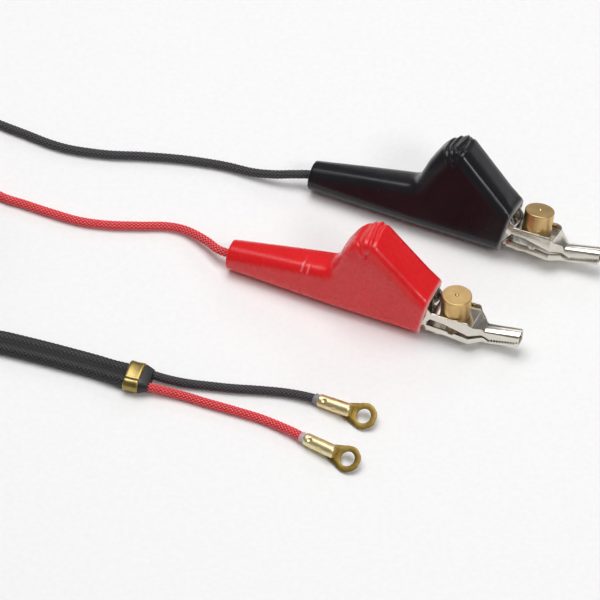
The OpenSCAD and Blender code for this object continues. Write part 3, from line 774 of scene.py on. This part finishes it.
def round_bends(obj, axes, upward, width, span):
    """Rounds a jaw's long outer bends, its sides into its top or its keel, in a span of x."""
    obj.data.transform(axes.inverted())
    work = bmesh.new()
    work.from_mesh(obj.data)
    bends = []
    for edge in work.edges:
        mid = (edge.verts[0].co + edge.verts[1].co) / 2
        if (len(edge.link_faces) != 2 or edge.calc_length() < 0.7 * MM
                or not span[0] * MM < mid.x < span[1] * MM):
            continue
        first, second = edge.link_faces
        for side, skin in ((first, second), (second, first)):
            outward = side.normal.y * mid.y > 0 and abs(side.normal.y) > 0.75
            if outward and skin.normal.z * upward > 0.35 and edge.is_convex:
                bends.append(edge)
    if bends:
        bmesh.ops.bevel(work, geom=list(set(bends)), offset=width * MM, segments=4,
                        profile=0.5, affect="EDGES", clamp_overlap=True)
    work.to_mesh(obj.data)
    work.free()
    obj.data.transform(axes)


NOSE_START, NOSE_CUTS = 75.6, 14
TEETH_X, TEETH_Z, TEETH_RISE = 78.5, 3.5, 0.25
# The teeth end here, and lie this far off the bite line at most
TEETH_END, TEETH_REACH = 86.4, 0.6
TEETH_SHIFT, TEETH_DROP, TEETH_CUT = 0.4, 0.3, {"upper": 0.45, "lower": 0.3}
NOSE_ROLL = {"upper": 1.5, "lower": 0.5}
BEND_ROUND, EDGE_ROUND, PIN_ROUND = 0.45, 0.09, 0.08


def bite_at(x):
    """Height of the line where the teeth meet, in mm."""
    return TEETH_Z + TEETH_RISE * max(0.0, x - TEETH_X)


def round_nose(obj, axes, upward, roll):
    """Arches a jaw's nose across its width, from a folded box to half a tube."""
    obj.data.transform(axes.inverted())
    work = bmesh.new()
    work.from_mesh(obj.data)
    bmesh.ops.bisect_plane(work, geom=work.verts[:] + work.edges[:] + work.faces[:],
                           plane_co=(NOSE_START * MM, 0, 0), plane_no=(1, 0, 0))
    nose = [v for v in work.verts if v.co.x > (NOSE_START - 0.01) * MM]
    half = max(abs(v.co.y) for v in nose if v.co.x > (NOSE_START + 3) * MM)
    for k in range(1, NOSE_CUTS):
        faces = [f for f in work.faces if f.calc_center_median().x > NOSE_START * MM]
        edges = list({e for f in faces for e in f.edges})
        verts = list({v for f in faces for v in f.verts})
        bmesh.ops.bisect_plane(work, geom=verts + edges + faces, plane_no=(0, 1, 0),
                               plane_co=(0, half * math.cos(math.pi * k / NOSE_CUTS), 0))
    top = max((v.co.z - bite_at(v.co.x / MM) * MM) * upward for v in work.verts
              if v.co.x > TEETH_X * MM)
    for vert in work.verts:
        high = (vert.co.z - bite_at(vert.co.x / MM) * MM) * upward
        if high <= 0 or vert.co.x < NOSE_START * MM:
            continue
        u = min(1.0, abs(vert.co.y) / half)
        ease = min(1.0, (vert.co.x / MM - NOSE_START) / 2.0)
        drop = roll * MM * (1 - math.sqrt(1 - 0.98 * u * u)) * ease
        vert.co.z -= upward * drop * min(1.0, high / top)
    work.to_mesh(obj.data)
    work.free()
    obj.data.transform(axes)


def part_teeth(obj, axes, jaw):
    """Cuts a jaw's teeth deeper; the lower ones move half a pitch, tip to tip."""
    to_clip = axes.inverted()
    for vert in obj.data.vertices:
        at = to_clip @ vert.co / MM
        high = at.z - bite_at(at.x)
        if not (TEETH_X - 0.1 < at.x < TEETH_END and abs(high) < TEETH_REACH):
            continue
        if jaw == "upper":
            at.z += TEETH_CUT[jaw] * (high > 0.25)
        else:
            at.x -= TEETH_SHIFT
            at.z -= TEETH_RISE * TEETH_SHIFT + TEETH_DROP + TEETH_CUT[jaw] * (high < 0)
        vert.co = axes @ (at * MM)


def make_clip_metal(colour, mats):
    axes, jaw = AXES[colour], colour + "_jaw"
    nickel = mats["nickel_steel"]
    upper = copy_of(colour + "_upper_jaw", colour + "_upper_jaw_plate")
    part_teeth(upper, axes, "upper")
    round_nose(upper, axes, 1, NOSE_ROLL["upper"])
    round_bends(upper, axes, 1, BEND_ROUND, (0, NOSE_START))
    finish_piece(bevelled(upper, EDGE_ROUND, 2, 35), jaw, "nickel_steel", nickel,
                 colour + "_upper_jaw")
    lower = copy_of(colour + "_lower_jaw", colour + "_lower_jaw_plate")
    part_teeth(lower, axes, "lower")
    round_nose(lower, axes, -1, NOSE_ROLL["lower"])
    round_bends(lower, axes, -1, BEND_ROUND, (0, NOSE_START))
    finish_piece(bevelled(lower, EDGE_ROUND, 2, 35), "root", "nickel_steel", nickel,
                 colour + "_lower_jaw")
    pin = bevelled(copy_of(colour + "_pivot_pin", colour + "_rivet"), PIN_ROUND, 2, 35)
    finish_piece(pin, "root", "nickel_steel", nickel, colour + "_pivot_pin")
    make_bed(colour, mats)
    make_spring(colour, mats)


BED_TOP = 6.6
SPIGOT_D, SPIGOT_DROP = 6.0, 0.7
# Tool rings up the bed's side, and rings across its face
SIDE_RINGS, SIDE_PITCH, FACE_PITCH = 30, 0.2, 0.26


def make_bed(colour, mats):
    """Turned brass bed: chamfered rim, tool rings and a centre dimple."""
    floor = TRAY_Z + SHEET
    r, top = BED_D / 2, floor + BED_TOP
    profile = [(0.02, TRAY_Z - SPIGOT_DROP), (SPIGOT_D / 2, TRAY_Z - SPIGOT_DROP),
               (SPIGOT_D / 2, floor), (r - 0.12, floor + 0.002), (r, floor + 0.14)]
    profile += [(r - 0.012 * (k % 2), floor + 0.3 + SIDE_PITCH * k)
                for k in range(SIDE_RINGS)]
    profile += [(r, top - 0.24), (r - 0.06, top - 0.1), (r - 0.2, top - 0.02), (r - 0.3, top)]
    ring = r - 0.35
    while ring > 0.7:
        profile += [(ring, top - 0.012), (ring - 0.12, top - 0.002)]
        ring -= FACE_PITCH
    profile += [(0.6, top - 0.03), (0.35, top - 0.22), (0.12, top - 0.34), (0.02, top - 0.36)]
    verts, faces = lathe(profile, 96)
    seat = AXES[colour] @ Matrix.Translation(Vector((BED_X, 0, 0)) * MM)
    bed = new_object(colour + "_bed_turning", verts, faces, seat)
    smooth_by_angle(bed, 40)
    body = colour + "_jaw"
    finish_piece(bed, body, "turned_brass", mats["turned_brass"], colour + "_nail_bed")


SPRING_R, SPRING_WIRE, SPRING_W, SPRING_TURNS = 1.75, 0.6, 4.6, 5
SPRING_INSET, SPRING_POINTS = 0.3, 16
# The upper leg's end: along the hump's slope and under it
LEG_ALONG, LEG_UNDER = 9, 2.95


def wire_tube(name, points, wire, sides=12):
    """A round wire through points in mm."""
    path = flowing(points, 0.25)
    ahead = np.gradient(path, axis=0)
    ahead /= np.linalg.norm(ahead, axis=1)[:, None]
    side = np.cross(ahead, [0.13, 0.98, 0.15])
    side /= np.linalg.norm(side, axis=1)[:, None]
    up = np.cross(ahead, side)
    a = np.linspace(0, 2 * math.pi, sides, endpoint=False)
    ring = (side[:, None, :] * np.cos(a)[None, :, None]
            + up[:, None, :] * np.sin(a)[None, :, None]) * wire / 2 * MM
    verts = (path[:, None, :] + ring).reshape(-1, 3)
    rows = len(path)
    faces = [(i * sides + k, i * sides + (k + 1) % sides,
              (i + 1) * sides + (k + 1) % sides, (i + 1) * sides + k)
             for i in range(rows - 1) for k in range(sides)]
    faces.append(tuple(range(sides - 1, -1, -1)))
    faces.append(tuple(range((rows - 1) * sides, rows * sides)))
    return new_object(name, verts.tolist(), faces)


def make_spring(colour, mats):
    """Torsion spring: a leg on the floor, turns round the pin, a leg up the lever."""
    axes = AXES[colour]
    w = SPRING_W / 2
    points = [(PIVOT[0] - 12, -w + SPRING_INSET, 4.0), (PIVOT[0] - 6, -w + SPRING_INSET, 4.05)]
    steps = SPRING_POINTS * SPRING_TURNS
    for i in range(steps + 1):
        turned = 2 * math.pi * i / SPRING_POINTS * (SPRING_TURNS - 0.25) / SPRING_TURNS
        a = math.radians(-90) + turned
        across = -w + SPRING_INSET + (2 * w - 2 * SPRING_INSET) * i / steps
        points.append((PIVOT[0] + SPRING_R * math.cos(a), across,
                       PIVOT[1] + SPRING_R * math.sin(a)))
    slope = Vector((HUMP_BACK + MOUTH_LEAN, MOUTH_H - HUMP_H)).normalized()
    under = (Vector((BOOT_L - HUMP_BACK, HUMP_H)) + slope * LEG_ALONG
             + Vector((slope[1], -slope[0])) * LEG_UNDER)
    points.append((under[0], w - SPRING_INSET, under[1]))
    points = [in_mm(axes, p) for p in points]
    spring = wire_tube(colour + "_spring_wire", points, SPRING_WIRE)
    finish_piece(spring, None, "spring_steel", mats["spring_steel"], colour + "_jaw_spring")
    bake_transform(spring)


# ---- Bands, tapers, terminals and tie -------------------------------------

def stadium(w, t, steps=14):
    """Outline of a flat oval as (y, z) in mm, counter-clockwise."""
    r, flat = t / 2, (w - t) / 2
    left = [(-flat + r * math.cos(a), r * math.sin(a))
            for a in np.linspace(math.pi / 2, 3 * math.pi / 2, steps)]
    right = [(flat + r * math.cos(a), r * math.sin(a))
             for a in np.linspace(-math.pi / 2, math.pi / 2, steps)]
    return left + right


def loft(name, sections, matrix, closed=True):
    """A skin over sections: lists of (x, y, z) in mm, all of one length."""
    n = len(sections[0])
    verts = [tuple(c * MM for c in p) for s in sections for p in s]
    faces = [(i * n + k, (i + 1) * n + k, (i + 1) * n + (k + 1) % n, i * n + (k + 1) % n)
             for i in range(len(sections) - 1) for k in range(n)]
    if closed:
        faces.append(tuple(range(n)))
        faces.append(tuple(range(len(sections) * n - 1, (len(sections) - 1) * n - 1, -1)))
    obj = new_object(name, verts, faces, matrix)
    work = bmesh.new()
    work.from_mesh(obj.data)
    bmesh.ops.recalc_face_normals(work, faces=work.faces)
    work.to_mesh(obj.data)
    work.free()
    return obj


# The band's back: where it is highest across, its fall, its crease's depth and place
BAND_CREST, BAND_CROWN, BAND_CREASE, BAND_SPLIT = 1.4, 0.18, 0.3, -2.5
BAND_SIDES = 220


def crimp_outline(w, t):
    """Flat oval folded in at the crimp's seam, into two unequal lobes."""
    points = stadium(w, t, 22)
    dense = []
    for i, (y, z) in enumerate(points):
        y2, z2 = points[(i + 1) % len(points)]
        steps = max(1, int(math.hypot(y2 - y, z2 - z) / 0.16))
        dense += [(y + (y2 - y) * k / steps, z + (z2 - z) * k / steps) for k in range(steps)]

    def fold(y):
        off = abs(y - BAND_SPLIT)
        crown = BAND_CROWN * min(1.0, ((y - BAND_CREST) / 3.0) ** 2)
        return crown + BAND_CREASE * math.exp(-(off / 0.28) ** 1.5)

    return [(y, z - math.copysign(fold(y), z) * (1.0 if z > 0 else 0.4)) for y, z in dense]


def make_band(name, node, matrix, mats):
    """Folded brass band: two lobes, rolled edges, closed over the cord."""
    rows = [(-BAND_L / 2, -0.75), (-BAND_L / 2, -0.3), (-BAND_L / 2 + 0.12, -0.1),
            (-BAND_L / 2 + 0.4, 0), (-BAND_L / 2 + 0.9, -0.03), (0, -0.1),
            (BAND_L / 2 - 0.9, -0.03), (BAND_L / 2 - 0.4, 0), (BAND_L / 2 - 0.12, -0.1),
            (BAND_L / 2, -0.3), (BAND_L / 2, -0.75)]
    sections = []
    for x, inset in rows:
        outline = crimp_outline(BAND_W + 2 * inset, BAND_T + 2 * inset)
        ys = np.array(outline)
        gaps = np.linalg.norm(np.roll(ys, -1, 0) - ys, axis=1)
        along = np.concatenate([[0], np.cumsum(gaps)])
        at = np.linspace(0, along[-1], BAND_SIDES, endpoint=False)
        closed = np.vstack([ys, ys[:1]])
        sections.append([(x, float(np.interp(s, along, closed[:, 0])),
                          float(np.interp(s, along, closed[:, 1]))) for s in at])
    band = loft(name, sections, matrix)
    smooth_by_angle(band, 50)
    return finish_piece(band, "root", "band_brass", mats["band_brass"], node)


def make_taper(name, node, mats):
    """Smooth dark shrink film from the band down onto the sheath or leads."""
    obj = bevelled(copy_of(node, name), 0.35, 3, 30)
    return finish_piece(obj, "root", "black_vinyl", mats["film"], node)


# The barrel's folded end reaches a little over the tongue
BARREL_SKIN_L = 9.7
RING_PLATE = 0.5
# Crimp punches in the barrel: place along it, heading round it, size, depth
PUNCHES = ((1.9, 92, 0.55, 0.34), (5.4, 132, 0.5, 0.14))
# The barrel's seam lies underneath, in degrees round it
SEAM_AT, SEAM_DEEP = 270, 0.12


def make_terminal(colour, mats):
    """Ring terminal: rolled barrel with two crimp punches, tongue and ring."""
    seat = TERMINALS[colour]
    r_in, under = LEAD_D / 2, -BARREL_D / 2
    centre_x = BARREL_L + TONGUE_L
    rows, cols = 60, 72
    sections = []
    for i in range(rows + 1):
        x = BARREL_SKIN_L * i / rows
        swell = -0.1 + 0.1 * min(1.0, x / 5.0) ** 1.5
        edge = (-0.16 * math.exp(-(x / 0.18) ** 2)
                - 0.3 * math.exp(-((BARREL_SKIN_L - x) / 0.25) ** 2))
        row = []
        for k in range(cols):
            a = 2 * math.pi * k / cols
            r = BARREL_D / 2 + swell + edge
            for at, heading, size, deep in PUNCHES:
                arc = math.radians(math.degrees(a) - heading) * BARREL_D / 2
                off = ((x - at) ** 2 + arc ** 2) / size ** 2
                r -= deep * math.exp(-off ** 1.5)
            seam = abs(math.degrees(a) - SEAM_AT)
            r -= SEAM_DEEP * math.exp(-(seam / 4) ** 2)
            row.append((x, r * math.cos(a), r * math.sin(a)))
        sections.append(row)
    mouth = [(0.0, r_in * math.cos(2 * math.pi * k / cols), r_in * math.sin(2 * math.pi * k / cols))
             for k in range(cols)]
    deep = [(BARREL_L - 1.2, y, z) for _, y, z in mouth]
    barrel = loft(colour + "_terminal_barrel", [deep, mouth] + sections, seat)
    smooth_by_angle(barrel, 50)
    finish_piece(barrel, "root", "terminal_brass", mats["terminal_brass"], colour + "_terminal")

    # Tongue and ring: one stamped plate with softened edges
    work = bmesh.new()
    steps = 96
    outer, inner = [], []
    for k in range(steps):
        a = 2 * math.pi * k / steps
        c, s = math.cos(a), math.sin(a)
        r = RING_D / 2 - 0.1 * (0.5 + 0.5 * math.cos(7 * a)) ** 3
        outer.append((centre_x + r * c, r * s))
        inner.append((centre_x + HOLE_D / 2 * c, HOLE_D / 2 * s))
    neck = BARREL_D / 2 - 0.15
    base_x = BARREL_L - 2.5
    plate = []
    for k, (x, y) in enumerate(outer):
        a = 2 * math.pi * k / steps
        if abs(a - math.pi) < 0.95:
            t = (a - math.pi) / 0.95
            x, y = base_x, -neck * t
        plate.append((x, y))
    verts = []
    for z in (under + RING_T - RING_PLATE, under + RING_T):
        for loop in (plate, inner):
            verts.append([work.verts.new((x * MM, y * MM, z * MM)) for x, y in loop])
    for k in range(steps):
        n = (k + 1) % steps
        low_out, low_in, up_out, up_in = verts
        work.faces.new((low_out[k], low_in[k], low_in[n], low_out[n]))
        work.faces.new((up_out[k], up_out[n], up_in[n], up_in[k]))
        work.faces.new((low_out[k], low_out[n], up_out[n], up_out[k]))
        work.faces.new((low_in[k], up_in[k], up_in[n], low_in[n]))
    bmesh.ops.recalc_face_normals(work, faces=work.faces)
    mesh = bpy.data.meshes.new(colour + "_ring")
    work.to_mesh(mesh)
    work.free()
    mesh.transform(seat)
    ring = bpy.data.objects.new(colour + "_terminal_ring", mesh)
    bpy.context.scene.collection.objects.link(ring)
    bevelled(ring, 0.07, 3, 40)
    # The ring takes a darker copy of the terminal brass, as painted shade
    finish_piece(ring, "root", "terminal_brass", mats["shaded_ring_brass"])
    return barrel, ring


SLEEVE_L, SLEEVE_T = 1.4, 0.25


def make_sleeve(colour, mats):
    """Thin film collar, its free edge slightly wavy, over the braid."""
    rows, cols = 8, 48
    sections = []
    for i in range(rows + 1):
        x = -SLEEVE_L + SLEEVE_L * i / rows
        row = []
        for k in range(cols):
            a = 2 * math.pi * k / cols
            r = LEAD_D / 2 + SLEEVE_T * (0.75 + 0.2 * math.sin(3 * a + i))
            row.append((x + 0.12 * math.sin(2 * a + 1) * (1 - i / rows), r * math.cos(a),
                        r * math.sin(a)))
        sections.append(row)
    inside = [[(x, 0.97 * y, 0.97 * z) for x, y, z in row] for row in reversed(sections)]
    sleeve = loft(colour + "_film_collar", sections + inside + sections[:1], TERMINALS[colour],
                  closed=False)
    return finish_piece(sleeve, "root", "clear_film", mats["film_" + colour],
                        colour + "_terminal_sleeve")


# ---- What stays from the CAD, with its materials ---------------------------

KEPT = {"nails": "spring_steel", "wire_ferrule": "turned_brass", "wire_core": "copper",
        "strands": "copper"}


def keep_small_parts(mats):
    """Small inner parts keep their CAD shape and get their real finish."""
    for colour in CLIPS:
        for part, finish in KEPT.items():
            materials = NODES[colour + "_" + part].data.materials
            materials.clear()
            materials.append(mats[finish])


def make_tie(mats):
    tie = bevelled(copy_of("coil_tie", "coil_strap"), 0.2, 3, 30)
    finish_piece(tie, "root", "tie_nylon", mats["tie_nylon"], "coil_tie")


FLOOR_HALF, FLOOR_GAP = 3.0, 0.0002


def make_floor():
    """White paper just under the row, FLOOR_HALF metres to every side."""
    half = FLOOR_HALF
    verts = [(-half, -half, 0), (half, -half, 0), (half, half, 0), (-half, half, 0)]
    floor = new_object("floor", verts, [(0, 1, 2, 3)], Matrix.Translation((0, 0, -FLOOR_GAP)))
    floor.data.materials.append(floor_paper())


def build():
    make_camera()
    mats = make_materials()
    cords = make_cords(mats)
    bands = {"clip": make_band("clip_band_fold", "clip_end_band", CLIP_BAND, mats),
             "ring": make_band("ring_band_fold", "ring_end_band", RING_BAND, mats)}
    tapers = {"clip": make_taper("clip_taper_film", "clip_end_taper", mats),
              "ring": make_taper("ring_taper_film", "ring_end_taper", mats)}
    terminals = {colour: make_terminal(colour, mats) for colour in CLIPS}
    sleeves = {colour: make_sleeve(colour, mats) for colour in CLIPS}
    for colour in CLIPS:
        make_boot(colour, mats)
        make_clip_metal(colour, mats)
    make_tie(mats)
    keep_small_parts(mats)
    make_floor()
    make_lights()


build()
